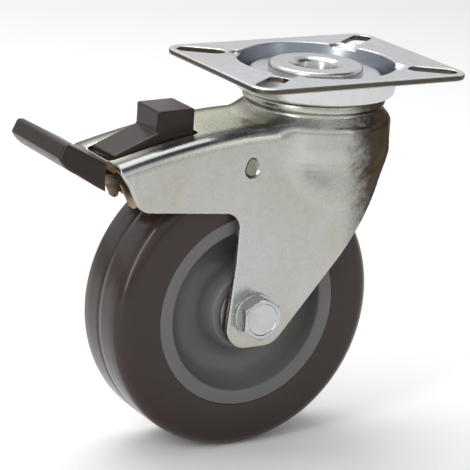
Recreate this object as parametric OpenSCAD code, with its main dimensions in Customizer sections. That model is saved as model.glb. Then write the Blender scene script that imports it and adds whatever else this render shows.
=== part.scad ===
// Swivel castor for a gate: pressed top plate, hollow-kingpin swivel head, pressed fork
// with a long arm, braked polyurethane wheel and a rocking foot lever that locks the
// wheel and the swivel together.
// Frame: origin at the centre of the plate's top face, +Z up, +X the way the castor
// travels, so the wheel trails towards -X and its axle lies along Y.

/* [Wheel] */
// Outside diameter of the tyre
wheel_d = 125; // [110:1:132]
// Width of the tyre
tyre_w = 36; // [30:0.5:37]
// Radius where the tyre ends and the plastic centre starts
rim_r = 42.5; // [38:0.5:46]
// Radius of the shoulders of the tyre
shoulder_r = 6.5; // [3:0.5:8]
// How far the axle sits behind the swivel axis
trail = 37; // [34:0.5:42]
// Depth of the axle below the top of the plate
axle_drop = 104; // [100:1:112]

/* [Top plate] */
// Length of the plate
plate_l = 105; // [100:1:130]
// Width of the plate
plate_w = 85; // [80:1:110]
// Thickness of the plate
plate_t = 3; // [2:0.5:4]
// Corner radius of the plate
plate_r = 9; // [4:1:14]
// Slot centres along the plate
slot_x = 80; // [76:1:90]
// Slot centres across the plate
slot_y = 60; // [56:1:70]
// Width of a fixing slot
slot_w = 9; // [7:0.5:10]
// Whole length of a fixing slot
slot_len = 21; // [14:0.5:22]
// Radius of the pressed dish
dish_r = 34.5; // [34:0.5:36]

/* [Swivel head] */
// Outside radius of the hollow kingpin
king_r = 12.5; // [11:0.25:13]
// Radius of the hole through the kingpin
king_hole_r = 9.5; // [7:0.25:10]
// Diameter of the swivel balls
ball_d = 6; // [5.5:0.25:6.5]
// Radius of the round crown of the fork
crown_r = 34; // [33:0.5:35]
// Teeth on the lock ring
lock_teeth = 20; // [16:4:24]

/* [Fork] */
// Outside width of the fork
fork_w = 46; // [44:0.5:50]
// Thickness of the fork's sheet
sheet_t = 3; // [2.5:0.5:3.5]
// How far the arm reaches behind the swivel axis
arm_l = 106; // [100:1:112]
// Corner radius of the end of each leg
boss_r = 10; // [8:0.5:11]
// Width of the slot in the arm
arm_slot_w = 22; // [21:0.5:26]

/* [Axle] */
// Diameter of the axle bolt
bolt_d = 10; // [8:1:10]
// Width across the flats of the bolt head and nut
hex_af = 17; // [13:0.5:19]

/* [Brake] */
// Swing of the foot lever, in degrees
lever_swing = 18; // [10:1:18]
// Swing of the brake leaf, in degrees
leaf_swing = 4; // [2:0.5:4]
// Width of the foot pedal
pedal_w = 46; // [40:1:48]
// Width of the release block
block_w = 20; // [16:0.5:20]

/* [Hidden] */

$fn = 96;
eps = 0.01;
seat = 0.3;          // how far a seated piece goes into the piece that holds it
run = 0.05;          // clearance round a turning pin
gap = 0.4;           // clearance between pieces that move past each other

// Heights of the swivel head, from the plate down
floor_z = -4.6;                                   // top of the dish floor
floor_bot = floor_z - plate_t;
crown_top = floor_bot - 0.1 - ball_d + seat;      // top of the fork's neck
crown_bot = crown_top - sheet_t;
race_top = crown_bot + seat - ball_d - 0.1;       // lower race
race_t = 2.5;
ring_top = race_top - race_t;                     // lock ring
ring_t = 2.5;
flange_top = ring_top - ring_t;                   // rolled foot of the kingpin
flange_t = 2.5;
upper_pitch = king_r + 11.5;
lower_pitch = king_r + 9.5;
neck_in_r = 27.6;
shoulder_z = -22.5;                               // top of the fork round the neck
wall_bot = -38;                                   // foot of the round crown wall
cone_bot = -58;                                   // where crown and leg run together

// Wheel and axle
axle = [-trail, -axle_drop];
wheel_r = wheel_d / 2;
leg_in = fork_w / 2 - sheet_t;
leg_out = fork_w / 2;
ring_in_r = rim_r - 6.3;
hub_r = 18;
hub_half = leg_in - 1;
bearing_r = 14;
bearing_w = 8;
tube_r = 6;
head_h = 6.4;
nut_h = 10;
washer_t = 1.6;
cage_r = 10;                                      // pitch radius of the wheel balls
wheel_ball_d = 4.6;

// Brake
leaf_pivot = [-41.5, -36];
leaf_pin_r = 2;
lever_pivot = [-90, -39];
lever_pin_r = 2.5;
shoe_gap = 0.3;                                   // left between shoe and tyre when on
shoe_t = 3.2;
leaf_in_r = wheel_r + shoe_gap + shoe_t;
leaf_t = 2;
leaf_w = 24;
shoe_from = 20;                                   // angles back from the top of the wheel
shoe_to = 38;
leaf_to = 46;
nose_r = 1.8;
nose_turn = 44;
ear_t = 2.5;
ear_w = 20;                                       // outside width of the lever's ears
lever_t = 2.5;

// ---------- shapes used by several pieces ----------

// Points of an arc round c, from angle a to angle b
function arc(c, r, a, b, n = 10) =
    [for (i = [0:n]) let (t = a + (b - a) * i / n) [c[0] + r * cos(t), c[1] + r * sin(t)]];

// Points of a curve from p to r that bends towards q
function bend(p, q, r, n = 12) =
    [for (i = [0:n]) let (t = i / n)
        (1 - t) * (1 - t) * p + 2 * t * (1 - t) * q + t * t * r];

// Turns an outline drawn in the side view (X, Z) into a slab from y0 to y1
module side(y0, y1)
    translate([0, y1, 0]) rotate([90, 0, 0]) linear_extrude(y1 - y0) children();

// Turns a section (radius, along the axle) about the axle
module on_axle()
    translate([axle[0], 0, axle[1]]) rotate([90, 0, 0]) rotate_extrude() children();

// A cylinder along Y at a point of the side view
module rod(at, r, y0, y1, sides = 96)
    translate([at[0], y1, at[1]]) rotate([90, 0, 0]) cylinder(r = r, h = y1 - y0, $fn = sides);

// Swings a piece about a point of the side view; a positive angle lifts its front
module swing(at, angle)
    translate([at[0], 0, at[1]]) rotate([0, -angle, 0]) translate([-at[0], 0, -at[1]])
        children();

// A ring of balls round the swivel axis
module ball_ring(pitch, z) {
    n = floor(180 / asin((ball_d + 0.4) / 2 / pitch));
    for (i = [0:n - 1])
        rotate(i * 360 / n) translate([pitch, 0, z]) sphere(d = ball_d, $fn = 32);
}

// ---------- top plate and kingpin ----------

module slot_outline() {
    half = (slot_len - slot_w) / 2;
    square([2 * half, slot_w], center = true);
    for (s = [-1, 1]) translate([s * half, 0]) circle(d = slot_w);
}

module plate_outline() {
    square([plate_l - 2 * plate_r, plate_w], center = true);
    square([plate_l, plate_w - 2 * plate_r], center = true);
    for (x = [-1, 1], y = [-1, 1])
        translate([x * (plate_l / 2 - plate_r), y * (plate_w / 2 - plate_r)])
            circle(r = plate_r);
}

module top_plate() color("gainsboro") {
    turn = atan2(slot_y, slot_x);
    difference() {
        translate([0, 0, -plate_t]) linear_extrude(plate_t) difference() {
            plate_outline();
            circle(r = dish_r);
            for (x = [-1, 1], y = [-1, 1])
                translate([x * slot_x / 2, y * slot_y / 2]) rotate(x * y * turn)
                    slot_outline();
        }
        // Shallow pressed lobes that run from the dish towards the slots
        for (x = [-1, 1], y = [-1, 1])
            rotate(x > 0 ? y * turn : 180 - y * turn)
                translate([dish_r - 2.5, 0, -1.6]) cylinder(r = 6.5, h = 2);
    }
    // The pressed dish: wall, deep outer groove and raised floor
    rotate_extrude() polygon([
        [king_r, floor_z], [28.6, floor_z], [30.4, floor_z - 4.6], [32, floor_z - 4.6],
        [dish_r, 0], [dish_r + 1.5, 0], [dish_r + 1.5, -plate_t], [34.2, -12.2],
        [33.6, -12.7], [29.2, -12.7], [28.6, -12.2], [27.8, floor_bot], [king_r, floor_bot]]);
}

module kingpin() color("silver") rotate_extrude() polygon(concat(
    [[king_hole_r, flange_top - flange_t], [17, flange_top - flange_t], [17, flange_top],
     [king_r, flange_top], [king_r, floor_z], [20.5, floor_z], [20.5, -2.2], [19.7, -1.4]],
    arc([king_hole_r + 1.6, -3], 1.6, 90, 180)));

module lower_race() color("silver") difference() {
    rotate_extrude() polygon([
        [king_r, ring_top], [neck_in_r - gap, ring_top], [neck_in_r - gap, race_top + 3.6],
        [lower_pitch + ball_d / 2 + gap, race_top + 3.6],
        [lower_pitch + ball_d / 2 + gap, race_top], [king_r, race_top]]);
}

module lock_ring() color("silver") {
    tip_r = 23.5;
    root_r = 18.5;
    difference() {
        translate([0, 0, flange_top]) cylinder(r = tip_r, h = ring_t);
        translate([0, 0, flange_top - eps]) cylinder(r = king_r, h = ring_t + 2 * eps);
        for (i = [0:lock_teeth - 1])
            rotate(180 + i * 360 / lock_teeth)
                translate([(root_r + tip_r + 1) / 2, 0, flange_top + ring_t / 2])
                    cube([tip_r + 1 - root_r, 3.4, ring_t + 1], center = true);
    }
}

// ---------- fork ----------

// The arm's top edge in the side view, from its end to the swivel axis
arm_top = bend([-arm_l, -34.4], [-62, shoulder_z], [-30, shoulder_z]);

function lowered(points, by) = [for (p = points) [p[0], p[1] - by]];

// Outline of arm and leg together
module side_outline() polygon(concat(
    arm_top,
    [[20, shoulder_z]],
    bend([24.3, -36], [22.5, -60.6], [4, -83.5], 10),
    arc(axle + [6, -5.3], boss_r, -41, -90, 6),
    arc(axle + [-2.7, -5.3], boss_r, -90, -176, 8),
    [[-47, -80], [-46.8, -66]],
    arc([-54, -65.5], 7.5, 0, 90, 6),
    arc([17 - arm_l, -46.5], 8, 270, 205, 6),
    [[6.6 - arm_l, -43], [2 - arm_l, -36.5]]));

// Neck, round crown and the slanting wall that takes the crown down into the flat legs
module crown() rotate_extrude() polygon([
    [0, crown_top], [31, crown_top], [31, -16.4], [29.9, -17.3], [29.6, -18.1],
    [29.9, -18.9], [31, -19.8], [31.6, -20.6], [crown_r - 0.6, -22.2], [crown_r, -23.6],
    [crown_r, wall_bot], [leg_out - 1, cone_bot], [0, cone_bot]]);

// Room inside the crown
module crown_room() rotate_extrude() polygon([
    [0, crown_bot], [neck_in_r, crown_bot], [neck_in_r, -25.2], [crown_r - sheet_t, -26.4],
    [crown_r - sheet_t, wall_bot], [leg_in - 1, cone_bot], [leg_in - 1, cone_bot - 1],
    [0, cone_bot - 1]]);

module fork() difference() {
    union() {
        side(-leg_out, leg_out) side_outline();
        crown();
    }
    crown_room();
    translate([0, 0, crown_bot - 1]) cylinder(r = king_r + run, h = 10);
    // Room between the walls of the arm and between the legs
    side(-leg_in, leg_in) polygon(concat(
        lowered(arm_top, sheet_t),
        [[-5, shoulder_z - sheet_t], [-5, wall_bot], [60, wall_bot], [60, -200],
         [-arm_l - 20, -200], [-arm_l - 20, arm_top[0][1] - sheet_t]]));
    // Slot that the release block works through
    translate([2.6 - arm_l, -arm_slot_w / 2, -50]) cube([42.4, arm_slot_w, 40]);
    rod(axle, bolt_d / 2 + run, -leg_out - 1, leg_out + 1);
}

// One pressing, kept as its top and its two walls so that the room between stays open
split_y = leg_in - 1;

module fork_top() color("gainsboro") intersection() {
    fork();
    translate([-200, -split_y, -200]) cube([400, 2 * split_y, 400]);
}

module fork_right() color("gainsboro") intersection() {
    fork();
    translate([-200, -split_y - 100, -200]) cube([400, 100, 400]);
}

module fork_left() color("gainsboro") intersection() {
    fork();
    translate([-200, split_y, -200]) cube([400, 100, 400]);
}

module upper_balls() color("silver") ball_ring(upper_pitch, crown_top - seat + ball_d / 2);

module lower_balls() color("silver") ball_ring(lower_pitch, crown_bot + seat - ball_d / 2);

// ---------- axle ----------

module axle_bolt() color("silver") {
    difference() {
        rod(axle, hex_af / sqrt(3), -leg_out - washer_t - head_h, -leg_out - washer_t, 6);
        translate([axle[0], -leg_out - washer_t - head_h - eps, axle[1]]) rotate([-90, 0, 0])
            difference() {
                cylinder(r = hex_af, h = 1.2);
                cylinder(r1 = hex_af / 2 - 0.3, r2 = hex_af / 2 + 1.6, h = 1.3);
            }
    }
    rod(axle, bolt_d / 2, -leg_out - washer_t - eps, leg_out + washer_t + nut_h + 2.5);
}

module axle_nut() color("silver") difference() {
    rod(axle, hex_af / sqrt(3), leg_out + washer_t, leg_out + washer_t + nut_h, 6);
    rod(axle, bolt_d / 2, leg_out, leg_out + washer_t + nut_h + 1);
}

module washers() color("silver") for (y = [-leg_out - washer_t, leg_out]) difference() {
    rod(axle, 9.6, y, y + washer_t);
    rod(axle, bolt_d / 2, y - 1, y + washer_t + 1);
}

module axle_tube() color("silver") difference() {
    rod(axle, tube_r, -leg_in, leg_in);
    rod(axle, bolt_d / 2, -leg_in - 1, leg_in + 1);
}

// One piece at each end of the hub
module both_ends() for (s = [-1, 1]) translate([0, s * (hub_half - bearing_w / 2), 0])
    children();

module bearing_inner_rings() color("silver") both_ends() on_axle() difference() {
    translate([tube_r, -bearing_w / 2]) square([2.2, bearing_w]);
    translate([cage_r, 0]) circle(d = wheel_ball_d + 0.1, $fn = 32);
}

// ---------- wheel ----------

module bearing_outer_rings() color("silver") both_ends() on_axle()
    translate([bearing_r - 2.1, -bearing_w / 2]) square([2.1, bearing_w]);

module bearing_balls() color("silver") both_ends() for (i = [0:7])
    translate([axle[0], 0, axle[1]]) rotate([0, i * 45, 0]) translate([cage_r, 0, 0])
        sphere(d = wheel_ball_d - 0.1, $fn = 32);

module bearing_shields() color("dimgray") for (s = [-1, 1])
    translate([0, s * (hub_half - 0.5), 0]) on_axle()
        translate([tube_r + 2.5, -0.35]) square([bearing_r - 2 - tube_r - 2.5, 0.7]);

// Half section of the wheel centre, mirrored about the middle of the wheel
module centre_half() polygon([
    [bearing_r, 0], [rim_r + 3, 0], [rim_r + 3, 4], [rim_r, 5.5],
    [rim_r, tyre_w / 2 - 0.2], [ring_in_r, tyre_w / 2 - 0.2], [ring_in_r - 1.5, 12],
    [30, 7], [24, 6.2], [19.5, 9], [hub_r, hub_half - 3], [hub_r - 1.5, hub_half],
    [bearing_r, hub_half]]);

module wheel_centre() color("gray") {
    for (m = [0, 1]) mirror([0, m, 0]) on_axle() centre_half();
    // Inner shoulder that the bearings stop against
    on_axle() translate([11.4, -(hub_half - bearing_w)])
        square([2.6 + eps, 2 * (hub_half - bearing_w)]);
}

module tyre() color("#3a3230") {
    half = tyre_w / 2;
    on_axle() polygon(concat(
        [[rim_r, half], [rim_r, 5.5], [rim_r + 3, 4], [rim_r + 3, -4], [rim_r, -5.5],
         [rim_r, -half]],
        arc([wheel_r - shoulder_r, -half + shoulder_r], shoulder_r, -90, 0, 8),
        arc([wheel_r - shoulder_r, half - shoulder_r], shoulder_r, 0, 90, 8)));
}

// ---------- brake ----------

module leaf_pin() color("silver") rod(leaf_pivot, leaf_pin_r, -leg_in - seat, leg_in + seat);

module lever_pin() color("silver")
    rod(lever_pivot, lever_pin_r, -leg_in - seat, leg_in + seat);

// Point at an angle back from the top of the wheel
function over_wheel(r, turn) = axle + r * [-sin(turn), cos(turn)];

// Outline of a strip that follows the tyre between two angles
function strip(r0, r1, from, to) =
    let (n = (to - from) / 2)
        concat(arc(axle, r1, 90 + from, 90 + to, n), arc(axle, r0, 90 + to, 90 + from, n));

// Where the shoe's rivets stand, as shanks of a length, and the places of their heads
module at_shoe_rivets() swing(leaf_pivot, -leaf_swing)
    for (turn = [24, 34], y = [-9.2, 9.2])
        translate([axle[0], y, axle[1]]) rotate([0, -turn, 0])
            translate([0, 0, leaf_in_r - 1.5]) children();

module shoe_shanks() at_shoe_rivets() cylinder(d = 3, h = leaf_t + 1.5 + eps, $fn = 32);

// Spring leaf with a rolled eye, shown off the tyre; its front tooth locks the swivel
module brake_leaf() color("goldenrod") difference() {
    union() {
        swing(leaf_pivot, -leaf_swing) side(-leaf_w / 2, leaf_w / 2)
            polygon(strip(leaf_in_r, leaf_in_r + leaf_t, 2, leaf_to));
        rod(leaf_pivot, leaf_pin_r + 2, -leaf_w / 2, leaf_w / 2);
        side(-6, 6) polygon([[-41, -37.5], [-40.5, -33], [-28, -29.4], [-19.5, -29.4],
                             [-19.5, -31.4], [-27.5, -31.4], [-38, -35.5]]);
        side(-1.3, 1.3) polygon([[-24.5, -29.8], [-24.5, flange_top - gap],
                                 [-19.5, flange_top - gap], [-19.5, -29.8]]);
    }
    rod(leaf_pivot, leaf_pin_r + run, -leaf_w, leaf_w);
    shoe_shanks();
}

// Ribbed steel shoe under the leaf
module brake_shoe() color("silver") difference() {
    swing(leaf_pivot, -leaf_swing) side(-15, 15) difference() {
        polygon(strip(wheel_r + shoe_gap, leaf_in_r, shoe_from, shoe_to));
        for (turn = [shoe_from + 3:3:shoe_to - 3])
            translate(over_wheel(wheel_r + shoe_gap, turn)) circle(r = 0.8, $fn = 24);
    }
    shoe_shanks();
}

module shoe_rivets() color("silver") {
    shoe_shanks();
    at_shoe_rivets() translate([0, 0, leaf_t + 1.5]) cylinder(d = 5, h = 1, $fn = 32);
}

nose_on = over_wheel(leaf_in_r + leaf_t + 0.7 + nose_r, nose_turn);
nose_off = let (v = nose_on - lever_pivot, c = cos(lever_swing), s = sin(lever_swing))
    lever_pivot + [v[0] * c + v[1] * s, v[1] * c - v[0] * s];

// Passivated steel lever: a web under pedal and block, and two ears round the pin
module brake_lever() color("goldenrod") difference() {
    union() {
        side(-8.8, 8.8) polygon([
            [-62.5, web_z(-62.5)], [-97, web_z(-97)], [-101, -39.6], [-106, -39.6], [-123, -30.2],
            [-124.3, -32.4], [-107, -42.2], [-100, -42.2], [-96, -39.3], [-63, -32.1]]);
        for (s = [-1, 1]) side(s > 0 ? ear_w / 2 - ear_t : -ear_w / 2,
                               s > 0 ? ear_w / 2 : -ear_w / 2 + ear_t) {
            polygon([[-63, -30], [-97, web_z(-97)], [-101, -39.7], [-106, -40], [-106, -43.5],
                     [-97, -45], nose_off + [-nose_r, 0], nose_off + [nose_r, 0],
                     [-85, -44], [-64, -36]]);
            translate(nose_off) circle(r = nose_r, $fn = 32);
        }
    }
    rod(lever_pivot, lever_pin_r + run, -ear_w, ear_w);
    // Room for the pin between the ears
    rod(lever_pivot, lever_pin_r + gap, -ear_w / 2 + ear_t, ear_w / 2 - ear_t);
    block_rivets(0.5);
}

// Pedal section, from the foot end round to the hook under the arm
module foot_pedal() color("#3c3230") difference() {
    side(-pedal_w / 2, pedal_w / 2) polygon(concat(
        [[-111, -31.1], [-128, -22.1]],
        arc([-129, -23.7], 1.6, 60, 165, 5),
        bend([-132.6, -27.5], [-130, -32.5], [-124, -35.1], 5),
        [[-114.7, -41.1], [-110.6, -43.4], [-111, -40.1]]));
    // Pocket that takes the end of the lever
    side(-8.8, 8.8) polygon([[-106, -39.6], [-123, -30.2], [-124.3, -32.4], [-107, -42.2]]);
}

// Top of the lever's web under the block
function web_z(x) = -29.5 + (x + 62.5) * 0.2;

// Rivets that hold the block, from under the web up into the moulding
module block_rivets(head) for (x = [-83, -71]) translate([x, 0, web_z(x) - 2.7 - head]) {
    cylinder(d = 5, h = head, $fn = 32);
    cylinder(d = 3, h = 6 + head, $fn = 32);
}

// Ramp and block in one moulding, seated on the lever's web
module release_block() color("#3c3230") difference() {
    side(-block_w / 2, block_w / 2) polygon([
        [-97, web_z(-97)], [-101.2, -34.8], [-101.2, -32.3], [-81.2, -24.4], [-81.2, -15.6],
        [-80.8, -15.2], [-64.4, -14.8], [-64, -15.2], [-64, web_z(-64)]]);
    block_rivets(0.5);
}

module lever_rivets() color("silver") block_rivets(1.2);

top_plate();
kingpin();
lower_race();
lock_ring();
fork_top();
fork_right();
fork_left();
upper_balls();
lower_balls();
axle_bolt();
axle_nut();
washers();
axle_tube();
bearing_inner_rings();
leaf_pin();
lever_pin();
tyre();
wheel_centre();
bearing_outer_rings();
bearing_balls();
bearing_shields();
brake_lever();
foot_pedal();
release_block();
lever_rivets();
brake_leaf();
brake_shoe();
shoe_rivets();
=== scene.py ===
# A braked swivel castor for a gate, built up the way it is put together: top plate, swivel
# head, fork, axle, wheel, brake and foot lever. Sizes in the sections are millimetres.

import math

import bpy
import numpy as np
from mathutils import Matrix, Vector


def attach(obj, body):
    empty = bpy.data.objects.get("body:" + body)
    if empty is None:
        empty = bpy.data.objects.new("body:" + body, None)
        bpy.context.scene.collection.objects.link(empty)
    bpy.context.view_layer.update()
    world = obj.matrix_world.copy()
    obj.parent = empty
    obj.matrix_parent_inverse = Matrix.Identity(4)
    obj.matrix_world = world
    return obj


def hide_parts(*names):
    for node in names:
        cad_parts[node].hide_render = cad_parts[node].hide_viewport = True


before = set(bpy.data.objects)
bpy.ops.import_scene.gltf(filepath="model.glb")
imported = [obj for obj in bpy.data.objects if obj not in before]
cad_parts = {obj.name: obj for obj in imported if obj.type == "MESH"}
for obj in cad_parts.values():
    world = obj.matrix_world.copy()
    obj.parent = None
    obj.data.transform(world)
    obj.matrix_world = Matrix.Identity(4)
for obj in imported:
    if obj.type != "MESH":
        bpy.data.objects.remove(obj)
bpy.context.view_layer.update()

# ---- Top plate ----------------------------------------------------------------------------
# One blank of 3 mm steel sheet, pressed and zinc plated. A dish with a deep outer groove is
# drawn down in its middle for the swivel balls, with a shallow lobe towards each diagonal
# fixing slot, and the cut edges are tumbled smooth.

plate_long, plate_wide, plate_thick, plate_corner = 105, 85, 3, 9
slot_along, slot_across, slot_wide, slot_length = 80, 60, 9, 21
dish_top_half = [(12.5, -4.6), (28.4, -4.6), (30.2, -9.2), (32.2, -9.2), (34.6, 0), (36.4, 0)]
dish_under_half = [(36.4, -3), (34.4, -12), (33.4, -12.7), (29.4, -12.7), (28.3, -12),
                   (27.6, -7.6), (12.5, -7.6)]
dish_seam = 35.6
lobe_radius, lobe_from_centre, lobe_depth, lobe_spread = 6.6, 32, 1.6, 2.4
outline_ease, cut_ease = 1.3, 0.8


def joined(a, b, ease):
    """Distance to two shapes together, with their corner filled over about this radius."""
    near = np.maximum(ease - np.abs(a - b), 0)
    return np.minimum(a, b) - near * near / (4 * ease)


def common(a, b, ease):
    """Distance to what two shapes share, with the edge eased over about this radius."""
    return -joined(-a, -b, ease)


def pressed(distance, depth, spread):
    """Depth of a press mark inside a shape, that runs out smoothly over its edge."""
    edge = np.clip(distance / spread + 0.5, 0, 1)
    return depth * (1 - edge) ** 2 * (1 + 2 * edge)


def inside_outline(points, u, v):
    """Signed distance from (u, v) to a closed outline, less than nothing inside it."""
    best, inside = np.float64(1e12), np.zeros(np.broadcast(u, v).shape, bool)
    for (a, b), (c, d) in zip(points, points[1:] + points[:1]):
        run, rise = c - a, d - b
        along = np.clip(((u - a) * run + (v - b) * rise) / (run * run + rise * rise), 0, 1)
        best = np.minimum(best, (u - a - along * run) ** 2 + (v - b - along * rise) ** 2)
        if rise:
            inside ^= ((b > v) != (d > v)) & (u < a + (v - b) * run / rise)
    return np.where(inside, -1, 1) * np.sqrt(best)


def skinned(name, distance, low, high, cell):
    """Closed mesh over the surface where distance(x, y, z) is nothing, with true normals."""
    axes = [np.arange(a - 2 * cell, b + 3 * cell, cell) for a, b in zip(low, high)]
    values = distance(axes[0][:, None, None], axes[1][None, :, None], axes[2][None, None, :])
    inside = values < 0
    cells = np.array(values.shape) - 1
    many = int(cells.prod())
    count, total, quads = np.zeros(many), np.zeros((many, 3)), []
    for axis in range(3):
        first, last = [slice(None)] * 3, [slice(None)] * 3
        first[axis], last[axis] = slice(0, -1), slice(1, None)
        at = np.argwhere(inside[tuple(first)] != inside[tuple(last)])
        beyond = at.copy()
        beyond[:, axis] += 1
        near, far = values[tuple(at.T)], values[tuple(beyond.T)]
        crossing = at.astype(float)
        crossing[:, axis] += near / (near - far)
        corners = []
        for across, over in ((-1, -1), (0, -1), (0, 0), (-1, 0)):
            c = at.copy()
            c[:, (axis + 1) % 3] += across
            c[:, (axis + 2) % 3] += over
            c = (c[:, 0] * cells[1] + c[:, 1]) * cells[2] + c[:, 2]
            count += np.bincount(c, minlength=many)
            for k in range(3):
                total[:, k] += np.bincount(c, weights=crossing[:, k], minlength=many)
            corners.append(c)
        quad = np.stack(corners, 1)
        outward = inside[tuple(at.T)]
        quad[~outward] = quad[~outward][:, ::-1]
        quads.append(quad)
    used = np.flatnonzero(count)
    number = np.zeros(many, int)
    number[used] = np.arange(len(used))
    points = total[used] / count[used, None] * cell + np.array([a[0] for a in axes])

    def slope(reach):
        return np.stack([(distance(*(points + s).T) - distance(*(points - s).T))
                         / (2 * s.sum()) for s in reach * cell * np.eye(3)], 1)

    # The points are drawn onto the surface in a few short moves, then the normals are read
    flattest, longest_move = 0.2, 0.4 * cell
    for _ in range(4):
        g = slope(0.12)
        steep = np.maximum((g * g).sum(1), flattest)[:, None]
        move = -distance(*points.T)[:, None] * g / steep
        size = np.linalg.norm(move, axis=1)[:, None]
        points = points + move * np.minimum(1, longest_move / np.maximum(size, 1e-9))
    g = slope(0.25)
    mesh = bpy.data.meshes.new(name)
    mesh.from_pydata((points / 1000).tolist(), [], number[np.concatenate(quads)].tolist())
    mesh.polygons.foreach_set("use_smooth", [True] * len(mesh.polygons))
    length = np.maximum(np.linalg.norm(g, axis=1), 1e-9)[:, None]
    mesh.normals_split_custom_set_from_vertices((g / length).tolist())
    piece = bpy.data.objects.new(name, mesh)
    bpy.context.scene.collection.objects.link(piece)
    return piece


def eased(points, radius, steps=4):
    """The same closed outline with each corner turned through a short curve."""
    out = []
    for i, here in enumerate(points):
        here, before, after = map(np.array, (here, points[i - 1], points[(i + 1) % len(points)]))
        r = radius[i] if isinstance(radius, (list, tuple)) else radius
        to, on = before - here, after - here
        reach = min(r, 0.45 * np.linalg.norm(to), 0.45 * np.linalg.norm(on))
        if reach < 0.02:
            out.append(tuple(here))
            continue
        start = here + to / np.linalg.norm(to) * reach
        end = here + on / np.linalg.norm(on) * reach
        for k in range(steps + 1):
            t = k / steps
            out.append(tuple((1 - t) ** 2 * start + 2 * t * (1 - t) * here + t * t * end))
    return out


dish_section = eased(dish_top_half + dish_under_half,
                     [0, 1.6, 1.6, 1.6, 2.4, 0, 0, 1.2, 1, 1, 1, 1.2, 0])


def plate_distance(x, y, z):
    side_x = np.abs(x) - plate_long / 2 + plate_corner
    side_y = np.abs(y) - plate_wide / 2 + plate_corner
    outline = (np.hypot(np.maximum(side_x, 0), np.maximum(side_y, 0))
               + np.minimum(np.maximum(side_x, side_y), 0) - plate_corner)
    away = np.hypot(x, y)
    turn = math.hypot(slot_along, slot_across)
    # Along and across the diagonal of the quarter of the plate that a point is in
    along = (np.abs(x) * slot_along + np.abs(y) * slot_across) / turn
    across = (np.abs(y) * slot_along - np.abs(x) * slot_across) / turn
    slot_run = np.maximum(np.abs(along - turn / 2) - (slot_length - slot_wide) / 2, 0)
    slot = np.hypot(slot_run, across) - slot_wide / 2
    lobe = np.hypot(along - lobe_from_centre, across) - lobe_radius
    press = pressed(lobe, lobe_depth, lobe_spread)
    sheet = np.abs(z + plate_thick / 2) - plate_thick / 2
    flat = common(common(sheet, outline, outline_ease), -slot, cut_ease)
    flat = common(flat, dish_seam - away, 0.05)
    dish = inside_outline(dish_section, away + 0 * z, z + 0 * away)
    whole = np.minimum(flat, dish)
    return common(whole, z + press, cut_ease)


top_plate = skinned("top_plate_pressing", plate_distance, (-52.5, -42.5, -12.7),
                    (52.5, 42.5, 0), 0.6)


def add(tree, kind, inputs=(), **settings):
    """A node with its settings, its inputs given as values or as sockets to join."""
    node = tree.nodes.new(kind)
    for key, value in settings.items():
        setattr(node, key, value)
    for key, value in dict(inputs).items():
        if isinstance(value, bpy.types.NodeSocket):
            tree.links.new(value, node.inputs[key])
        else:
            node.inputs[key].default_value = value
    return node


def shader_group(name, takes, gives):
    """A new shader node group with named sockets, and its two end nodes."""
    group = bpy.data.node_groups.new(name, "ShaderNodeTree")
    for label, kind, value in takes:
        socket = group.interface.new_socket(label, in_out="INPUT",
                                            socket_type="NodeSocket" + kind)
        if value is not None:
            socket.default_value = value
    for label, kind in gives:
        group.interface.new_socket(label, in_out="OUTPUT", socket_type="NodeSocket" + kind)
    return group, group.nodes.new("NodeGroupInput"), group.nodes.new("NodeGroupOutput")


def ramp(tree, factor, stops):
    """A colour ramp on a factor, from (place, colour) stops."""
    node = add(tree, "ShaderNodeValToRGB", {"Fac": factor})
    while len(node.color_ramp.elements) < len(stops):
        node.color_ramp.elements.new(0.5)
    for element, (place, colour) in zip(node.color_ramp.elements, stops):
        element.position = place
        element.color = (*colour, 1) if len(colour) == 3 else colour
    return node.outputs["Color"]


# Zinc plating under clear passivation: cloudy patches of tint, a fine frosted grain from
# the bath, soft press marks, a paler line along the edges that is part rubbed wear and part
# painted highlight, and a painted shade that can be laid along one direction.
plating, into, out = shader_group(
    "zinc plating",
    [("Place", "Vector", None), ("Cool", "Color", (0.62, 0.64, 0.65, 1)),
     ("Warm", "Color", (0.6, 0.53, 0.42, 1)), ("Tint", "Float", 0.5),
     ("Patch", "Float", 30.0), ("Rough", "Float", 0.28), ("Rough spread", "Float", 0.1),
     ("Shade", "Color", (0.2, 0.17, 0.14, 1)), ("Shade from", "Vector", (1, 0, 0)),
     ("Shade to", "Vector", (0, 0, 0)), ("Shade amount", "Float", 0.0)],
    [("Color", "Color"), ("Roughness", "Float"), ("Height", "Float")])
clouds = add(plating, "ShaderNodeTexNoise",
             {"Vector": into.outputs["Place"], "Scale": into.outputs["Patch"],
              "Detail": 4.0, "Roughness": 0.55, "Distortion": 0.6})
tint = add(plating, "ShaderNodeMapRange",
           {"Value": clouds.outputs["Fac"], "From Min": 0.38, "From Max": 0.68})
tint = add(plating, "ShaderNodeMath",
           {0: tint.outputs["Result"], 1: into.outputs["Tint"]}, operation="MULTIPLY")
base = add(plating, "ShaderNodeMix",
           {0: tint.outputs[0], 6: into.outputs["Cool"], 7: into.outputs["Warm"]},
           data_type="RGBA")
grain = add(plating, "ShaderNodeTexNoise",
            {"Vector": into.outputs["Place"], "Scale": 1500.0, "Detail": 3.0})
spots = add(plating, "ShaderNodeTexNoise",
            {"Vector": into.outputs["Place"], "Scale": 260.0, "Detail": 5.0,
             "Roughness": 0.7})
mottle = ramp(plating, spots.outputs["Fac"],
              [(0.3, (0.9, 0.9, 0.9)), (0.62, (1.0, 1.0, 1.0))])
base = add(plating, "ShaderNodeMix", {0: 1.0, 6: base.outputs[2], 7: mottle},
           data_type="RGBA", blend_type="MULTIPLY")
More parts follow.
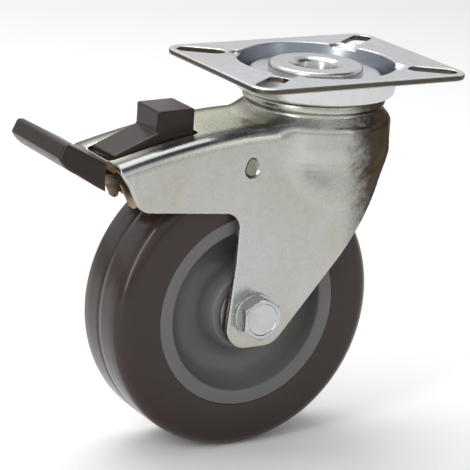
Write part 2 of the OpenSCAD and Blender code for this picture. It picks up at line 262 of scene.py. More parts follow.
# Painted shade: a darker tone laid along one direction of the piece, broken up by the mottle,
# that stands in for a dark reflection
reach = add(plating, "ShaderNodeVectorMath",
            {0: into.outputs["Place"], 1: into.outputs["Shade to"]}, operation="SUBTRACT")
reach = add(plating, "ShaderNodeVectorMath",
            {0: reach.outputs[0], 1: into.outputs["Shade from"]}, operation="DOT_PRODUCT")
reach = add(plating, "ShaderNodeMath", {0: spots.outputs["Fac"], 1: 0.9,
                                        2: reach.outputs["Value"]},
            operation="MULTIPLY_ADD")
reach = add(plating, "ShaderNodeMapRange", {"Value": reach.outputs[0], "From Min": 0.35,
                                            "From Max": 1.15}, interpolation_type="SMOOTHSTEP")
reach = add(plating, "ShaderNodeMath", {0: reach.outputs["Result"],
                                        1: into.outputs["Shade amount"]},
            operation="MULTIPLY")
base = add(plating, "ShaderNodeMix",
           {0: reach.outputs[0], 6: base.outputs[2], 7: into.outputs["Shade"]},
           data_type="RGBA")
# A paler line on sharp edges and bends: partly rubbed wear, partly a painted highlight
bend_sharpness = add(plating, "ShaderNodeNewGeometry")
rubbed_edge_and_highlight = add(plating, "ShaderNodeMapRange",
             {"Value": bend_sharpness.outputs["Pointiness"], "From Min": 0.53, "From Max": 0.62})
rubbed_edge_and_highlight = add(plating, "ShaderNodeMath", {0: rubbed_edge_and_highlight.outputs["Result"], 1: 0.35},
             operation="MULTIPLY")
base = add(plating, "ShaderNodeMix",
           {0: rubbed_edge_and_highlight.outputs[0], 6: base.outputs[2], 7: (0.8, 0.8, 0.78, 1)},
           data_type="RGBA")
spread = add(plating, "ShaderNodeMath",
             {0: spots.outputs["Fac"], 1: into.outputs["Rough spread"],
              2: into.outputs["Rough"]}, operation="MULTIPLY_ADD")
press_mark = add(plating, "ShaderNodeTexNoise",
                 {"Vector": into.outputs["Place"], "Scale": 90.0, "Detail": 2.0})
height = add(plating, "ShaderNodeMath",
             {0: grain.outputs["Fac"], 1: 0.12, 2: press_mark.outputs["Fac"]},
             operation="MULTIPLY_ADD")
plating.links.new(base.outputs[2], out.inputs["Color"])
plating.links.new(spread.outputs[0], out.inputs["Roughness"])
plating.links.new(height.outputs[0], out.inputs["Height"])


def finish_with(name, group, values, shader_values, relief, depth=0.0002):
    """A material that drives one Principled shader from a finish group."""
    material = bpy.data.materials.new(name)
    material.use_nodes = True
    tree = material.node_tree
    shader = tree.nodes["Principled BSDF"]
    for key, value in shader_values.items():
        shader.inputs[key].default_value = value
    place = add(tree, "ShaderNodeTexCoord")
    finish = tree.nodes.new("ShaderNodeGroup")
    finish.node_tree = group
    for key, value in values.items():
        finish.inputs[key].default_value = value
    tree.links.new(place.outputs["Object"], finish.inputs["Place"])
    tree.links.new(finish.outputs["Color"], shader.inputs["Base Color"])
    tree.links.new(finish.outputs["Roughness"], shader.inputs["Roughness"])
    bump = add(tree, "ShaderNodeBump", {"Strength": relief, "Distance": depth,
                                        "Height": finish.outputs["Height"]})
    tree.links.new(bump.outputs["Normal"], shader.inputs["Normal"])
    return material


zinc_plate = finish_with(
    "zinc on the plate", plating,
    {"Cool": (0.66, 0.67, 0.68, 1), "Warm": (0.65, 0.58, 0.52, 1), "Tint": 0.55,
     "Patch": 34.0, "Rough": 0.22, "Rough spread": 0.16},
    {"Metallic": 1.0, "IOR": 2.2, "Specular Tint": (0.85, 0.86, 0.9, 1)}, 0.5)

def coloured_so_far(material):
    """A material's nodes, its shader and the socket that gives its colour so far."""
    shader = material.node_tree.nodes["Principled BSDF"]
    return material.node_tree, shader, shader.inputs["Base Color"].links[0].from_socket


def spread_over(tree, value, start, end, most=1.0):
    """A mask that rises to its most while a value goes from start to end."""
    return add(tree, "ShaderNodeMapRange", {"Value": value, "From Min": start,
                                            "From Max": end, "To Max": most}).outputs["Result"]


def both(tree, one, two, operation="MULTIPLY"):
    """Two masks multiplied, or joined by another operation."""
    return add(tree, "ShaderNodeMath", {0: one, 1: two}, operation=operation).outputs[0]


def washed(tree, mask, under, over):
    """One colour laid over another where a mask says."""
    return add(tree, "ShaderNodeMix", {0: mask, 6: under, 7: (*over, 1)},
               data_type="RGBA").outputs[2]


def upward_part(tree):
    """How far the surface faces up, from -1 to 1."""
    facing = add(tree, "ShaderNodeNewGeometry")
    return add(tree, "ShaderNodeSeparateXYZ", {0: facing.outputs["Normal"]}).outputs["Z"]


def far_from(tree, place, weight):
    """Distance of the shaded point from a place, in metres, weighted along each axis."""
    spot = add(tree, "ShaderNodeTexCoord")
    spot = add(tree, "ShaderNodeVectorMath", {0: spot.outputs["Object"], 1: place},
               operation="SUBTRACT")
    spot = add(tree, "ShaderNodeVectorMath", {0: spot.outputs[0], 1: weight},
               operation="MULTIPLY")
    return add(tree, "ShaderNodeVectorMath", {0: spot.outputs[0]},
               operation="LENGTH").outputs["Value"]


# The sheared edge of the blank and the slots' walls are plated thinner and look darker,
# and the dish's wall gets a painted bluish shade where it slopes down into the dish
tree, shader, colour = coloured_so_far(zinc_plate)
upward = upward_part(tree)
steep = spread_over(tree, add(tree, "ShaderNodeMath", {0: upward},
                              operation="ABSOLUTE").outputs[0], 0.75, 0.35)
past_dish = spread_over(tree, far_from(tree, (0, 0, 0), (1, 1, 0)), 0.0368, 0.038)
edge = both(tree, steep, past_dish)
# Painted shade on the sloping wall of the dish
dish_wall_shade = both(tree, both(tree, steep, edge, "SUBTRACT"),
            spread_over(tree, upward, 0.05, 0.2, 0.85))
colour = washed(tree, edge, colour, (0.1, 0.085, 0.065))
colour = washed(tree, dish_wall_shade, colour, (0.2, 0.23, 0.27))
tree.links.new(colour, shader.inputs["Base Color"])


def dressed(piece, material, body, *nodes):
    """Gives a piece its material and body, and hides the CAD nodes that it stands for."""
    piece.data.materials.clear()
    piece.data.materials.append(material)
    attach(piece, body)
    if nodes:
        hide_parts(*nodes)


dressed(top_plate, zinc_plate, "head", "top_plate")

# ---- Swivel head --------------------------------------------------------------------------
# A hollow steel kingpin is rolled over inside the dish as a raised ring with a soft lip, and
# again under the lower race. Two rows of hardened balls run in the grooves, and a notched
# ring under the race catches the brake's tooth.

kingpin_section = eased(
    [(9.5, -29.7), (17, -29.7), (17, -27.2), (12.5, -27.2), (12.5, -4.9), (20.5, -4.9),
     (20.5, -2.5), (19.6, -1.5), (13.2, -1.5), (12, -1.4), (9.6, -2.6), (8.2, -7.5),
     (8.2, -16), (9.5, -18)],
    [0.5, 0.8, 0.3, 0.3, 0.1, 0.2, 1.4, 1.6, 0.8, 1.2, 2.4, 2.4, 1, 1])


def turned(name, section, centre, axis, around=192):
    """A closed (radius, along) section turned about an axis, with hard edges kept hard."""
    section = np.array(section)
    lap = np.linspace(0, 2 * math.pi, around, endpoint=False)
    r = section[None, :, 0] * np.ones((around, 1))
    along = section[None, :, 1] * np.ones((around, 1))
    one, two = r * np.cos(lap)[:, None], r * np.sin(lap)[:, None]
    parts = {"z": (one, two, along), "y": (two, along, one)}[axis]
    points = np.stack(parts, -1).reshape(-1, 3) + np.array(centre)
    n = len(section)
    faces = [(i * n + j, ((i + 1) % around) * n + j,
              ((i + 1) % around) * n + (j + 1) % n, i * n + (j + 1) % n)
             for i in range(around) for j in range(n)]
    mesh = bpy.data.meshes.new(name)
    mesh.from_pydata((points / 1000).tolist(), [], faces)
    signed = sum(a[0] * b[1] - b[0] * a[1] for a, b in
                 zip(section.tolist(), section.tolist()[1:] + section.tolist()[:1]))
    if signed < 0:
        mesh.flip_normals()
    mesh.polygons.foreach_set("use_smooth", [True] * len(mesh.polygons))
    mesh.set_sharp_from_angle(angle=math.radians(38))
    piece = bpy.data.objects.new(name, mesh)
    bpy.context.scene.collection.objects.link(piece)
    return piece


kingpin = turned("hollow_kingpin", kingpin_section, (0, 0, 0), "z")
kingpin_zinc = finish_with(
    "zinc on the kingpin", plating,
    {"Cool": (0.52, 0.53, 0.535, 1), "Warm": (0.5, 0.46, 0.4, 1), "Tint": 0.5,
     "Patch": 60.0, "Rough": 0.2, "Rough spread": 0.14},
    {"Metallic": 1.0, "IOR": 2.2}, 0.3)
# The bore is rubbed bare and holds old grease
# Painted shade darkens the bore
tree, shader, colour = coloured_so_far(kingpin_zinc)
bore_shade = spread_over(tree, far_from(tree, (0, 0, 0), (1, 1, 0)), 0.0098, 0.0075, 0.8)
tree.links.new(washed(tree, bore_shade, colour, (0.16, 0.165, 0.17)),
               shader.inputs["Base Color"])
dressed(kingpin, kingpin_zinc, "head", "kingpin")

# Hardened, ground steel: even, finely scratched along the way it was ground.
ground, into, out = shader_group(
    "ground steel",
    [("Place", "Vector", None), ("Bright", "Color", (0.6, 0.6, 0.6, 1)),
     ("Dull", "Color", (0.38, 0.37, 0.36, 1)), ("Rough", "Float", 0.22)],
    [("Color", "Color"), ("Roughness", "Float"), ("Height", "Float")])
film = add(ground, "ShaderNodeTexNoise",
           {"Vector": into.outputs["Place"], "Scale": 180.0, "Detail": 4.0})
base = add(ground, "ShaderNodeMix",
           {0: film.outputs["Fac"], 6: into.outputs["Bright"], 7: into.outputs["Dull"]},
           data_type="RGBA")
lines = add(ground, "ShaderNodeTexNoise",
            {"Vector": into.outputs["Place"], "Scale": 2200.0, "Detail": 2.0})
spread = add(ground, "ShaderNodeMath",
             {0: film.outputs["Fac"], 1: 0.14, 2: into.outputs["Rough"]},
             operation="MULTIPLY_ADD")
ground.links.new(base.outputs[2], out.inputs["Color"])
ground.links.new(spread.outputs[0], out.inputs["Roughness"])
ground.links.new(lines.outputs["Fac"], out.inputs["Height"])

ball_steel = finish_with("ball steel", ground, {"Rough": 0.08},
                         {"Metallic": 1.0, "IOR": 2.4}, 0.05)
race_steel = finish_with("race steel", ground,
                         {"Bright": (0.5, 0.49, 0.47, 1), "Dull": (0.3, 0.29, 0.28, 1),
                          "Rough": 0.28}, {"Metallic": 1.0, "IOR": 2.4}, 0.25)


def geometry_tree(name, takes):
    """A geometry node tree with named inputs, and its two end nodes."""
    tree = bpy.data.node_groups.new(name, "GeometryNodeTree")
    tree.interface.new_socket("Geometry", in_out="OUTPUT",
                              socket_type="NodeSocketGeometry")
    for label, kind, value in takes:
        socket = tree.interface.new_socket(label, in_out="INPUT",
                                           socket_type="NodeSocket" + kind)
        if value is not None:
            socket.default_value = value
    return tree, tree.nodes.new("NodeGroupInput"), tree.nodes.new("NodeGroupOutput")


def end_tree(tree, shape, into, out):
    """Realizes what a tree has made and gives it the tree's material."""
    real = add(tree, "GeometryNodeRealizeInstances", {"Geometry": shape})
    last = add(tree, "GeometryNodeSetMaterial", {"Geometry": real.outputs[0],
                                                 "Material": into.outputs["Material"]})
    tree.links.new(last.outputs[0], out.inputs[0])


def grown(name, tree, values):
    """A plain mesh object made by a geometry tree with these inputs."""
    maker = bpy.data.objects.new(name + "_maker", bpy.data.meshes.new(name))
    bpy.context.scene.collection.objects.link(maker)
    modifier = maker.modifiers.new("shape", "NODES")
    modifier.node_group = tree
    for item in tree.interface.items_tree:
        if item.in_out == "INPUT" and item.name in values:
            modifier[item.identifier] = values[item.name]
    graph = bpy.context.evaluated_depsgraph_get()
    mesh = bpy.data.meshes.new_from_object(maker.evaluated_get(graph))
    maker.modifiers.remove(modifier)
    bpy.data.objects.remove(maker)
    piece = bpy.data.objects.new(name, mesh)
    bpy.context.scene.collection.objects.link(piece)
    return piece


# A full row of balls: one ball on each point of a circle, turned to lie round its shaft
ball_row, into, out = geometry_tree(
    "row of balls",
    [("Pitch radius", "Float", 0.02), ("Balls", "Int", 12), ("Ball radius", "Float", 0.003),
     ("Middle", "Vector", (0, 0, 0)), ("Turn", "Vector", (0, 0, 0)),
     ("Material", "Material", None)])
circle = add(ball_row, "GeometryNodeMeshCircle", {"Vertices": into.outputs["Balls"],
                                                  "Radius": into.outputs["Pitch radius"]})
ball = add(ball_row, "GeometryNodeMeshUVSphere", {"Segments": 24, "Rings": 14,
                                                  "Radius": into.outputs["Ball radius"]})
ball = add(ball_row, "GeometryNodeSetShadeSmooth", {"Geometry": ball.outputs["Mesh"]})
row = add(ball_row, "GeometryNodeInstanceOnPoints", {"Points": circle.outputs["Mesh"],
                                                     "Instance": ball.outputs[0]})
row = add(ball_row, "GeometryNodeTransform", {"Geometry": row.outputs[0],
                                              "Translation": into.outputs["Middle"],
                                              "Rotation": into.outputs["Turn"]})
end_tree(ball_row, row.outputs[0], into, out)

for name, pitch, balls, height_at in (("upper_balls", 24, 23, -10.7),
                                      ("lower_balls", 22, 21, -19.1)):
    row = grown(name + "_row", ball_row, {
        "Pitch radius": pitch / 1000, "Balls": balls, "Ball radius": 0.003,
        "Middle": (0, 0, height_at / 1000), "Material": ball_steel})
    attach(row, "fork_body")
    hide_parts(name)

for name in ("lower_race", "lock_ring"):
    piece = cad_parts[name]
    for place in piece.material_slots:
        place.material = race_steel

# ---- Fork ---------------------------------------------------------------------------------
# One pressing of 3 mm sheet, zinc plated: a round crown with a grooved neck, drawn down into
# two flat legs for the axle, and a long arm folded over at its sides that carries the foot
# lever in an open slot. A teardrop is punched in for the brake leaf's pin on each side.

sheet = 3
fork_half = 23
arm_long = 106
axle_x, axle_z = -37, -104
arm_bend, crown_blend, cut_ease = 6, 4, 0.8
drop_x, drop_low, drop_high, drop_deep = -42.2, -39.7, -36.3, 1.4
slot_middle, slot_half_long, slot_half_wide = -82.8, 20.6, 11
king_hole, axle_hole = 12.7, 5.2


def arc(cx, cz, r, start, end, steps=10):
    """Points of an arc about (cx, cz) from one angle to another, in degrees."""
    turns = [math.radians(start + (end - start) * i / steps) for i in range(steps + 1)]
    return [(cx + r * math.cos(t), cz + r * math.sin(t)) for t in turns]


def bent(p, q, r, steps=12):
    """Points of a curve from p to r that leans towards q."""
    return [tuple((1 - t) ** 2 * np.array(p) + 2 * t * (1 - t) * np.array(q)
                  + t * t * np.array(r)) for t in np.linspace(0, 1, steps + 1)]


arm_top = bent((-arm_long, -34.4), (-62, -22.5), (-30, -22.5), 24)
leg_outline = (
    [(-arm_long, 5), (20, 5), (20, -22.5)]
    + bent((24.3, -36), (22.5, -60.6), (4, -83.5), 16)
    + arc(axle_x + 6, axle_z - 5.3, 10, -41, -90, 8)
    + arc(axle_x - 2.7, axle_z - 5.3, 10, -90, -176, 12)
    + bent((-47, -80), (-46.8, -73), (-46.6, -66), 3)
    + arc(-54, -65.5, 7.5, 0, 90, 10)
    + arc(17 - arm_long, -46.5, 8, 270, 205, 8)
    + [(6.6 - arm_long, -43), (2 - arm_long, -36.5)])
under_arm = ([(x, z - sheet) for x, z in arm_top]
             + [(-5, -25.5), (-5, -38), (60, -38), (60, -200), (-140, -200), (-140, -37.4)])
crown_section = eased(
    [(-40, -13.4), (31, -13.4), (31, -16.2), (29.6, -18.1), (31.4, -20.4), (33.2, -22.3),
     (34, -24), (34, -38), (22, -58), (-40, -58)],
    [0, 1.6, 0.6, 1.8, 1, 1.4, 1.4, 8, 0, 0])
crown_room = eased(
    [(-40, -16.4), (27.6, -16.4), (27.6, -25.2), (31, -26.4), (31, -38), (19, -58),
     (-40, -58)], [0, 1, 0.5, 0.8, 8, 0, 0])


def fork_distance(x, y, z):
    side = np.abs(y)
    path = np.array(arm_top + [(60, -22.5)])
    lie = np.hypot(1, np.interp(x, path[1:, 0], np.diff(path[:, 1]) / np.diff(path[:, 0])))
    under_top = (z - np.interp(x, path[:, 0], path[:, 1])) / lie
    drop = joined(np.hypot(x - drop_x, z - drop_low) - 3.2,
                  np.hypot(x - drop_x, z - drop_high) - 1.4, 3)
    walls = side - fork_half + pressed(drop, drop_deep, 1.5)
    channel = common(walls, under_top, arm_bend)
    outline = inside_outline(leg_outline, x + 0 * z, z + 0 * x)
    channel = common(channel, outline, cut_ease)
    away = np.hypot(x, y)
    crown = inside_outline(crown_section, away + 0 * z, z + 0 * away)
    outer = joined(channel, crown, crown_blend)
    room = common(side - fork_half + sheet,
                  inside_outline(under_arm, x + 0 * z, z + 0 * x), 2.5)
    room = joined(room, inside_outline(crown_room, away + 0 * z, z + 0 * away), 1.5)
    shell = common(outer, -room, 0.7)
    slot = common(np.abs(x - slot_middle) - slot_half_long, side - slot_half_wide, 3)
    slot = common(slot, -z - 60, 0.1)
    shell = common(shell, -np.maximum(slot, z + 10), cut_ease)
    shell = common(shell, np.minimum(king_hole - away, z + 20), 0.5)
    bolt_hole = np.hypot(x - axle_x, z - axle_z) - axle_hole
    return common(shell, -bolt_hole, 0.6)


fork = skinned("fork_pressing", fork_distance, (-106, -34, -120), (34, 34, -13.4), 0.8)
# The Shade inputs lay a painted dark brown shade over the front of the crown and fork on the
# near side, standing in for a dark reflection
zinc_fork = finish_with(
    "zinc on the fork", plating,
    {"Cool": (0.5, 0.51, 0.495, 1), "Warm": (0.45, 0.415, 0.32, 1), "Tint": 0.6,
     "Patch": 26.0, "Rough": 0.18, "Rough spread": 0.18, "Shade": (0.05, 0.038, 0.028, 1),
     "Shade from": (50, -33, 5), "Shade to": (0.0125, -0.0082, -0.036),
     "Shade amount": 0.96},
    {"Metallic": 1.0, "IOR": 2.2, "Specular Tint": (0.5, 0.46, 0.4, 1)}, 0.6)

# The bath leaves a greenish film on what faces up, painted paler there as a painted
# highlight. The arm's shoulders get a darker bluish painted reflection, and painted shade
# darkens the two teardrops.
tree, shader, colour = coloured_so_far(zinc_fork)
upward = upward_part(tree)
place = add(tree, "ShaderNodeTexCoord")
place = add(tree, "ShaderNodeSeparateXYZ", {0: place.outputs["Object"]})
from_middle = add(tree, "ShaderNodeMath", {0: place.outputs["Y"]}, operation="ABSOLUTE")
# Partly the film's real greenish tint, partly a painted highlight on faces that look up
film = spread_over(tree, upward, 0.84, 0.97, 0.85)
# Painted reflection: a darker bluish band along the arm's shoulders
shoulder_dark_reflection = both(tree, spread_over(tree, from_middle.outputs[0], 0.0125, 0.0165),
             spread_over(tree, upward, 0.4, 0.65, 0.8))
shoulder_dark_reflection = both(tree, shoulder_dark_reflection, spread_over(tree, place.outputs["X"], -0.012, -0.026))
# Painted shade inside the two teardrops
teardrop_shade = spread_over(tree, far_from(tree, (-0.0422, 0, -0.0388), (1, 0, 0.8)),
                    0.004, 0.0024, 0.75)
colour = washed(tree, film, colour, (0.86, 0.9, 0.78))
colour = washed(tree, shoulder_dark_reflection, colour, (0.13, 0.135, 0.15))
colour = washed(tree, teardrop_shade, colour, (0.17, 0.165, 0.125))
tree.links.new(colour, shader.inputs["Base Color"])
dressed(fork, zinc_fork, "fork_body", "fork_top", "fork_right", "fork_left")

# ---- Axle ---------------------------------------------------------------------------------
# A zinc-plated hexagon bolt goes through both legs, with a plain washer under its head and
# under the nut. Inside the hub a spacer tube holds the bearings' inner rings apart.

across_flats, head_high, bolt_radius = 17, 6.4, 5
thread_pitch, thread_deep, thread_past_nut = 1.5, 0.9, 2.5
head_chamfer_from, nut_chamfer_from, head_dish, head_dish_deep = 8.3, 8.5, 6.9, 0.5
washer_thick, nut_high = 1.6, 10


def hexagon(u, v):
    """Distance to a hexagon's flats, with a corner up and a corner down."""
    return np.maximum(np.abs(u), np.maximum(np.abs(0.5 * u + 0.866 * v),
                                            np.abs(0.5 * u - 0.866 * v))) - across_flats / 2


def bolt_distance(x, y, z):
    u, v = x - axle_x, z - axle_z
    away = np.hypot(u, v)
    face = -fork_half - washer_thick - head_high
    head = common(hexagon(u, v), (away - head_chamfer_from) * 0.5
                  + (face - y) * 0.866, 0.25)
    head = common(head, np.maximum(face - y, y - face - head_high), 0.3)
    dished = np.maximum(away - head_dish, np.abs(y - face) - head_dish_deep)
    head = common(head, -dished, 0.5)
    end = fork_half + washer_thick + nut_high + thread_past_nut
    turn = np.arctan2(v, u) / (2 * math.pi) + y / thread_pitch
    ridge = np.abs(turn - np.round(turn)) * thread_deep * (y > fork_half + 1)
    shank = common(away - bolt_radius + ridge, y - end, 1)
    shank = np.maximum(shank, face + 2 - y)
    return joined(head, shank, 0.3)


bolt = skinned("hexagon_bolt", bolt_distance, (axle_x - 10, -31, axle_z - 10),
               (axle_x + 10, 37.1, axle_z + 10), 0.32)


def nut_distance(x, y, z):
    u, v = x - axle_x, z - axle_z
    away = np.hypot(u, v)
    start = fork_half + washer_thick
    middle = np.abs(y - start - nut_high / 2) - nut_high / 2
    nut = common(hexagon(u, v), (away - nut_chamfer_from) * 0.5
                 + middle * 0.866, 0.25)
    nut = common(nut, middle, 0.3)
    return common(nut, 5.05 - away + 0.5 * np.maximum(0, middle + 0.9), 0.2)


nut = skinned("hexagon_nut", nut_distance, (axle_x - 10, 24.6, axle_z - 10),
              (axle_x + 10, 34.6, axle_z + 10), 0.34)
bright_zinc = finish_with(
    "bright zinc on the bolt", plating,
    {"Cool": (0.56, 0.58, 0.6, 1), "Warm": (0.46, 0.46, 0.44, 1), "Tint": 0.5,
     "Patch": 90.0, "Rough": 0.2, "Rough spread": 0.12},
    {"Metallic": 1.0, "IOR": 2.2}, 0.35)
dressed(bolt, bright_zinc, "fork_body", "axle_bolt")
dressed(nut, bright_zinc, "fork_body", "axle_nut")

washer_section = eased([(5.1, 0), (9.6, 0), (9.6, washer_thick), (5.1, washer_thick)], 0.35)
washers = [turned("washer", [(r, a + start) for r, a in washer_section],
                  (axle_x, 0, axle_z), "y", 96)
           for start in (-fork_half - washer_thick, fork_half)]
for piece, name in zip(washers, ("washer_head_side", "washer_nut_side")):
    piece.name = name
    dressed(piece, bright_zinc, "fork_body", "washers")
for name in ("axle_tube", "bearing_inner_rings", "bearing_outer_rings", "leaf_pin",
             "lever_pin"):
    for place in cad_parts[name].material_slots:
        place.material = race_steel

# ---- Wheel --------------------------------------------------------------------------------
# A dark polyurethane tyre is cast round a grey nylon centre with a bowl-shaped web on each
# side. Two ball bearings with pressed shields are pushed into the ends of the hub.

wheel_radius, tyre_half, rim_radius, shoulder = 62.5, 18, 42.5, 6.5
tyre_section = (
    [(rim_radius + 0.15, tyre_half - 0.1), (rim_radius, tyre_half - 0.3), (rim_radius, 5.5),
     (45.5, 4), (45.5, -4), (rim_radius, -5.5), (rim_radius, -tyre_half + 0.3),
     (rim_radius + 0.15, -tyre_half + 0.1), (rim_radius + 0.5, -tyre_half)]
    + arc(wheel_radius - shoulder, -tyre_half + shoulder, shoulder, -90, -10, 10)
    + [(wheel_radius - 0.02, -8), (wheel_radius, -3), (wheel_radius, -0.5),
       (wheel_radius - 0.16, -0.22), (wheel_radius - 0.16, 0.22), (wheel_radius, 0.5),
       (wheel_radius, 3), (wheel_radius - 0.02, 8)]
    + arc(wheel_radius - shoulder, tyre_half - shoulder, shoulder, 10, 90, 10)
    + [(rim_radius + 0.5, tyre_half)])
tyre = turned("cast_tyre", tyre_section, (axle_x, 0, axle_z), "y", 256)

# Moulded goods: a slightly cloudy body colour, the fine grain of the mould, faint flow marks
# and pale dust that settles on what looks up.
moulded, into, out = shader_group(
    "moulded goods",
    [("Place", "Vector", None), ("Deep", "Color", (0.05, 0.05, 0.05, 1)),
     ("Pale", "Color", (0.09, 0.09, 0.09, 1)), ("Dust", "Float", 0.1),
     ("Rough", "Float", 0.4), ("Grain", "Float", 1800.0)],
    [("Color", "Color"), ("Roughness", "Float"), ("Height", "Float")])
cloud = add(moulded, "ShaderNodeTexNoise",
            {"Vector": into.outputs["Place"], "Scale": 55.0, "Detail": 5.0,
             "Roughness": 0.6, "Distortion": 0.4})
body = add(moulded, "ShaderNodeMix",
           {0: cloud.outputs["Fac"], 6: into.outputs["Deep"], 7: into.outputs["Pale"]},
           data_type="RGBA")
facing = add(moulded, "ShaderNodeNewGeometry")
upward = add(moulded, "ShaderNodeSeparateXYZ", {0: facing.outputs["Normal"]})
settled = add(moulded, "ShaderNodeTexNoise",
              {"Vector": into.outputs["Place"], "Scale": 320.0, "Detail": 6.0,
               "Roughness": 0.7})
settled = add(moulded, "ShaderNodeMapRange",
              {"Value": settled.outputs["Fac"], "From Min": 0.4, "From Max": 0.75})
upward = add(moulded, "ShaderNodeMapRange",
             {"Value": upward.outputs["Z"], "From Min": -0.2, "From Max": 1.0})
amount = add(moulded, "ShaderNodeMath",
             {0: settled.outputs["Result"], 1: upward.outputs["Result"]},
             operation="MULTIPLY")
amount = add(moulded, "ShaderNodeMath", {0: amount.outputs[0], 1: into.outputs["Dust"]},
             operation="MULTIPLY")
body = add(moulded, "ShaderNodeMix",
           {0: amount.outputs[0], 6: body.outputs[2], 7: (0.42, 0.4, 0.37, 1)},
           data_type="RGBA")
pores = add(moulded, "ShaderNodeTexNoise",
            {"Vector": into.outputs["Place"], "Scale": into.outputs["Grain"],
             "Detail": 2.0})
spread = add(moulded, "ShaderNodeMath",
             {0: cloud.outputs["Fac"], 1: 0.14, 2: into.outputs["Rough"]},
             operation="MULTIPLY_ADD")
moulded.links.new(body.outputs[2], out.inputs["Color"])
moulded.links.new(spread.outputs[0], out.inputs["Roughness"])
moulded.links.new(pores.outputs["Fac"], out.inputs["Height"])

polyurethane = finish_with(
    "dark polyurethane", moulded,
    {"Deep": (0.026, 0.0155, 0.013, 1), "Pale": (0.032, 0.02, 0.0165, 1), "Dust": 0.03,
     "Rough": 0.17, "Grain": 1500.0},
    {"IOR": 1.5, "Specular IOR Level": 0.3, "Coat Weight": 0.1}, 0.02)
dressed(tyre, polyurethane, "wheel_body", "tyre")

centre_half = [(14, 18), (16.8, 18), (18, 15.6), (19.6, 8.8), (24, 6.4), (30, 7.1),
               (34.4, 11.6), (36.3, 17.9), (42.45, 17.9), (42.45, 5.6), (45.4, 4)]
centre_section = eased(
    centre_half + [(r, -a) for r, a in reversed(centre_half)],
    [0.3, 0.8, 1.6, 3, 5, 3.5, 4, 0.9, 0.3, 0, 0, 0, 0, 0.3, 0.9, 4, 3.5, 5, 3, 1.6,
     0.8, 0.3], 6)
centre = turned("nylon_centre", centre_section, (axle_x, 0, axle_z), "y", 256)
nylon = finish_with(
    "grey nylon", moulded,
    {"Deep": (0.1, 0.099, 0.095, 1), "Pale": (0.118, 0.117, 0.111, 1), "Dust": 0.08,
     "Rough": 0.36, "Grain": 1600.0}, {"IOR": 1.52}, 0.06)
dressed(centre, nylon, "wheel_body", "wheel_centre")

for side_name, middle in (("near", -14), ("far", 14)):
    row = grown("bearing_balls_" + side_name, ball_row, {
        "Pitch radius": 0.010, "Balls": 8, "Ball radius": 0.00225,
        "Middle": (axle_x / 1000, middle / 1000, axle_z / 1000),
        "Turn": (math.pi / 2, 0, 0), "Material": ball_steel})
    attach(row, "wheel_body")
    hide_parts("bearing_balls")
shield_steel = finish_with("shield steel", ground,
                           {"Bright": (0.3, 0.3, 0.3, 1), "Dull": (0.2, 0.2, 0.2, 1),
                            "Rough": 0.35}, {"Metallic": 1.0, "IOR": 2.4}, 0.2)
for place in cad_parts["bearing_shields"].material_slots:
    place.material = shield_steel

# ---- Brake leaf ---------------------------------------------------------------------------
# A passivated spring-steel leaf rocks on a pin through the fork. It carries a ribbed steel
# shoe on four rivets over the tyre, and its front tooth drops out of the notched ring.

passivated = finish_with(
    "yellow passivated steel", plating,
    {"Cool": (0.17, 0.09, 0.024, 1), "Warm": (0.12, 0.055, 0.015, 1), "Tint": 0.8,
     "Patch": 70.0, "Rough": 0.22, "Rough spread": 0.15},
    {"Metallic": 1.0, "IOR": 2.0, "Specular Tint": (0.4, 0.26, 0.12, 1)}, 0.4)
for name in ("brake_leaf", "brake_lever", "brake_shoe"):
    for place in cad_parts[name].material_slots:
        place.material = passivated
for name in ("shoe_rivets", "lever_rivets"):
    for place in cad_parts[name].material_slots:
        place.material = race_steel

# ---- Foot lever ---------------------------------------------------------------------------
# A black moulded pedal is pushed on the end of the steel lever behind the arm, and a second
# moulding with a ramp and a block stands up through the arm's slot: pressing it down lets
# the brake off again.

pedal_half, pedal_ease, block_half, block_ease = 23, 1.8, 10, 1.4
pedal_outline = (
    [(-111, -31.1), (-128, -22.1)] + arc(-129, -23.7, 1.6, 60, 165, 6)
    + bent((-132.6, -27.5), (-130, -32.5), (-124, -35.1), 8)
    + [(-114.7, -41.1), (-110.6, -43.4), (-111, -40.1)])


def pedal_distance(x, y, z):
    shape = inside_outline(pedal_outline, x + 0 * z, z + 0 * x)
    return common(shape, np.abs(y) - pedal_half, pedal_ease)


pedal = skinned("foot_pedal_moulding", pedal_distance, (-132.6, -23, -44),
                (-110, 23, -22), 0.45)
black = finish_with(
    "black moulded plastic", moulded,
    {"Deep": (0.016, 0.0088, 0.0064, 1), "Pale": (0.022, 0.0125, 0.0092, 1), "Dust": 0.02,
     "Rough": 0.24, "Grain": 2200.0}, {"IOR": 1.5, "Specular IOR Level": 0.3}, 0.08)
dressed(pedal, black, "lever_body", "foot_pedal")

block_outline = eased(
    [(-97, -36.4), (-101.2, -34.8), (-101.2, -32.3), (-81.2, -24.4), (-81.2, -15.6),
     (-80.6, -15.1), (-64.6, -14.8), (-64, -15.4), (-64, -29.8)],
    [0.3, 0.4, 0.6, 0.8, 1, 0.6, 0.6, 1, 0.3])


def block_distance(x, y, z):
    shape = inside_outline(block_outline, x + 0 * z, z + 0 * x)
    return common(shape, np.abs(y) - block_half, block_ease)


block = skinned("release_block_moulding", block_distance, (-101.2, -10, -37),
                (-64, 10, -14.8), 0.45)
dressed(block, black, "lever_body", "release_block")

# ---- Floor and light ----------------------------------------------------------------------
# A pale seamless floor, a large soft light above, a tall one on each side and a pale room
# with a soft dark card overhead that the bends of the plating mirror.

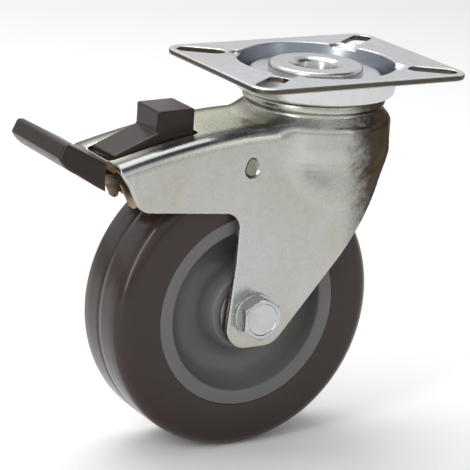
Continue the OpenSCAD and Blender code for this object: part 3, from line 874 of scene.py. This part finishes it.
floor_low, floor_half = -0.1665, 6
mesh = bpy.data.meshes.new("floor")
mesh.from_pydata([(x * floor_half, y * floor_half, floor_low)
                  for x, y in ((-1, -1), (1, -1), (1, 1), (-1, 1))], [], [(0, 1, 2, 3)])
floor = bpy.data.objects.new("floor", mesh)
bpy.context.scene.collection.objects.link(floor)
pale = bpy.data.materials.new("pale floor")
pale.use_nodes = True
shader = pale.node_tree.nodes["Principled BSDF"]
shader.inputs["Base Color"].default_value = (0.9, 0.9, 0.9, 1)
shader.inputs["Roughness"].default_value = 0.9
floor.data.materials.append(pale)

world = bpy.data.worlds.new("grey room")
bpy.context.scene.world = world
world.use_nodes = True
room = world.node_tree
look = add(room, "ShaderNodeTexCoord")
split = add(room, "ShaderNodeSeparateXYZ", {0: look.outputs["Generated"]})
shade = ramp(room, split.outputs["Z"],
             [(0.0, (0.5, 0.5, 0.49)), (0.12, (0.46, 0.455, 0.44)),
              (0.22, (0.98, 0.99, 1.0)), (0.45, (0.95, 0.95, 0.95)), (1.0, (0.6, 0.6, 0.6))])
card = add(room, "ShaderNodeVectorMath", {0: look.outputs["Generated"], 1: (0.54, -0.35, 0.77)},
           operation="DOT_PRODUCT")
card = add(room, "ShaderNodeMapRange", {"Value": card.outputs["Value"], "From Min": 0.82,
                                        "From Max": 0.92}, interpolation_type="SMOOTHSTEP")
shade = add(room, "ShaderNodeMix", {0: card.outputs["Result"], 6: shade,
                                    7: (0.06, 0.07, 0.1, 1)}, data_type="RGBA").outputs[2]
room.links.new(shade, room.nodes["Background"].inputs["Color"])
room.nodes["Background"].inputs["Strength"].default_value = 1.0
bpy.context.scene.view_settings.view_transform = "Standard"

for name, power, size, place, tone in (
        ("soft light above", 8, (0.9, 0.9), (-0.1, 0.35, 0.9), (1, 1, 1)),
        ("tall light left", 4, (0.2, 0.9), (-0.9, -0.4, 0.35), (1, 0.98, 0.95)),
        ("tall light right", 0.5, (0.05, 0.9), (0.45, -0.9, 0.35), (1, 0.97, 0.88))):
    lamp = bpy.data.lights.new(name, "AREA")
    lamp.shape, lamp.energy, lamp.color = "RECTANGLE", power, tone
    lamp.size, lamp.size_y = size
    holder = bpy.data.objects.new(name, lamp)
    aim = Vector((-0.03, 0, -0.07)) - Vector(place)
    turn = aim.to_track_quat("-Z", "Y").to_matrix().to_4x4()
    holder.matrix_world = Matrix.Translation(place) @ turn
    bpy.context.scene.collection.objects.link(holder)

# ---- Camera -------------------------------------------------------------------------------
# A long lens a little above the castor, from its left front corner, held slightly turned.

azimuth, elevation, roll = (math.radians(a) for a in (-31.33, 16.99, 3.79))
back = Vector((math.sin(azimuth) * math.cos(elevation),
               -math.cos(azimuth) * math.cos(elevation), math.sin(elevation)))
level = (-back).cross(Vector((0, 0, 1))).normalized()
raised = level.cross(-back)
right = level * math.cos(roll) + raised * math.sin(roll)
above = -level * math.sin(roll) + raised * math.cos(roll)
stand = Vector((-0.5444, -0.8370, 0.2238))
lens = bpy.data.cameras.new("long lens")
sensor = 36
lens.lens, lens.sensor_width = 2376 / 470 * sensor, sensor
camera = bpy.data.objects.new("camera", lens)
camera.matrix_world = Matrix((
    (right.x, above.x, back.x, stand.x), (right.y, above.y, back.y, stand.y),
    (right.z, above.z, back.z, stand.z), (0, 0, 0, 1)))
bpy.context.scene.collection.objects.link(camera)
bpy.context.scene.camera = camera
